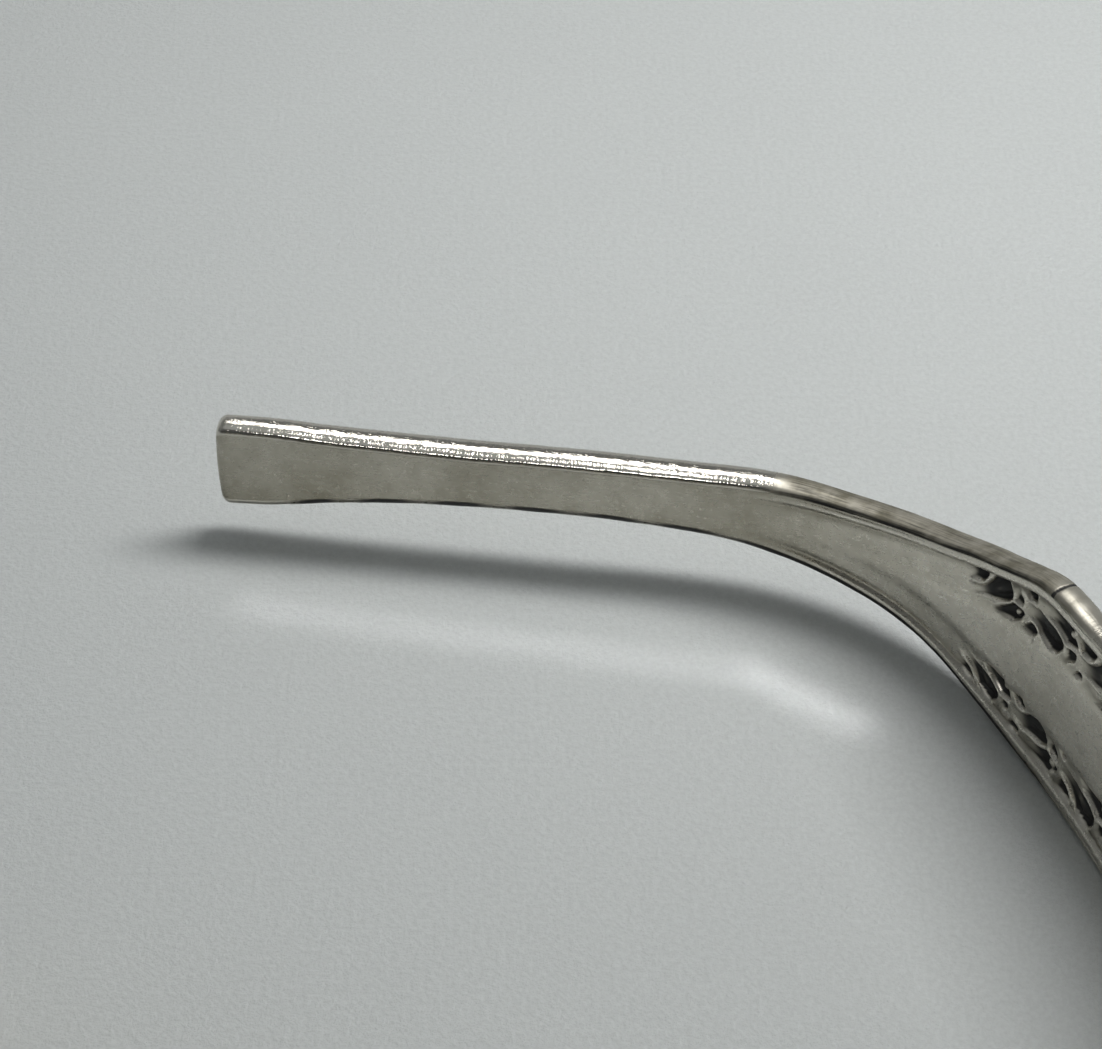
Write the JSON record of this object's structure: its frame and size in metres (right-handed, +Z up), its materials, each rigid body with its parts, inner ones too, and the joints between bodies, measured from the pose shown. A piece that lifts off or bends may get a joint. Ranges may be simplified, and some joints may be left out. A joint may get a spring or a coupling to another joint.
{
  "type": "spoon handle cuff bracelet",
  "caption": "Open cuff bracelet bent from a long spoon handle: narrow cut end, widening shoulder, broad blade with relief borders on both faces, rounded tip.",
  "frame": {"origin": "middle of the cuff's footprint, on the surface that it lies on", "axes": "+Z up from that surface; -X towards the gap between the two ends; +Y from the blade towards the cut end's side"},
  "size_m": [0.0566, 0.0578, 0.0132],
  "materials": {
    "silver": "worn polished silver with fine scratches, brown tarnish, and blackened floors in the relief"
  },
  "bodies": {
    "root": {"handle_band": "silver"}
  },
  "joints": []
}
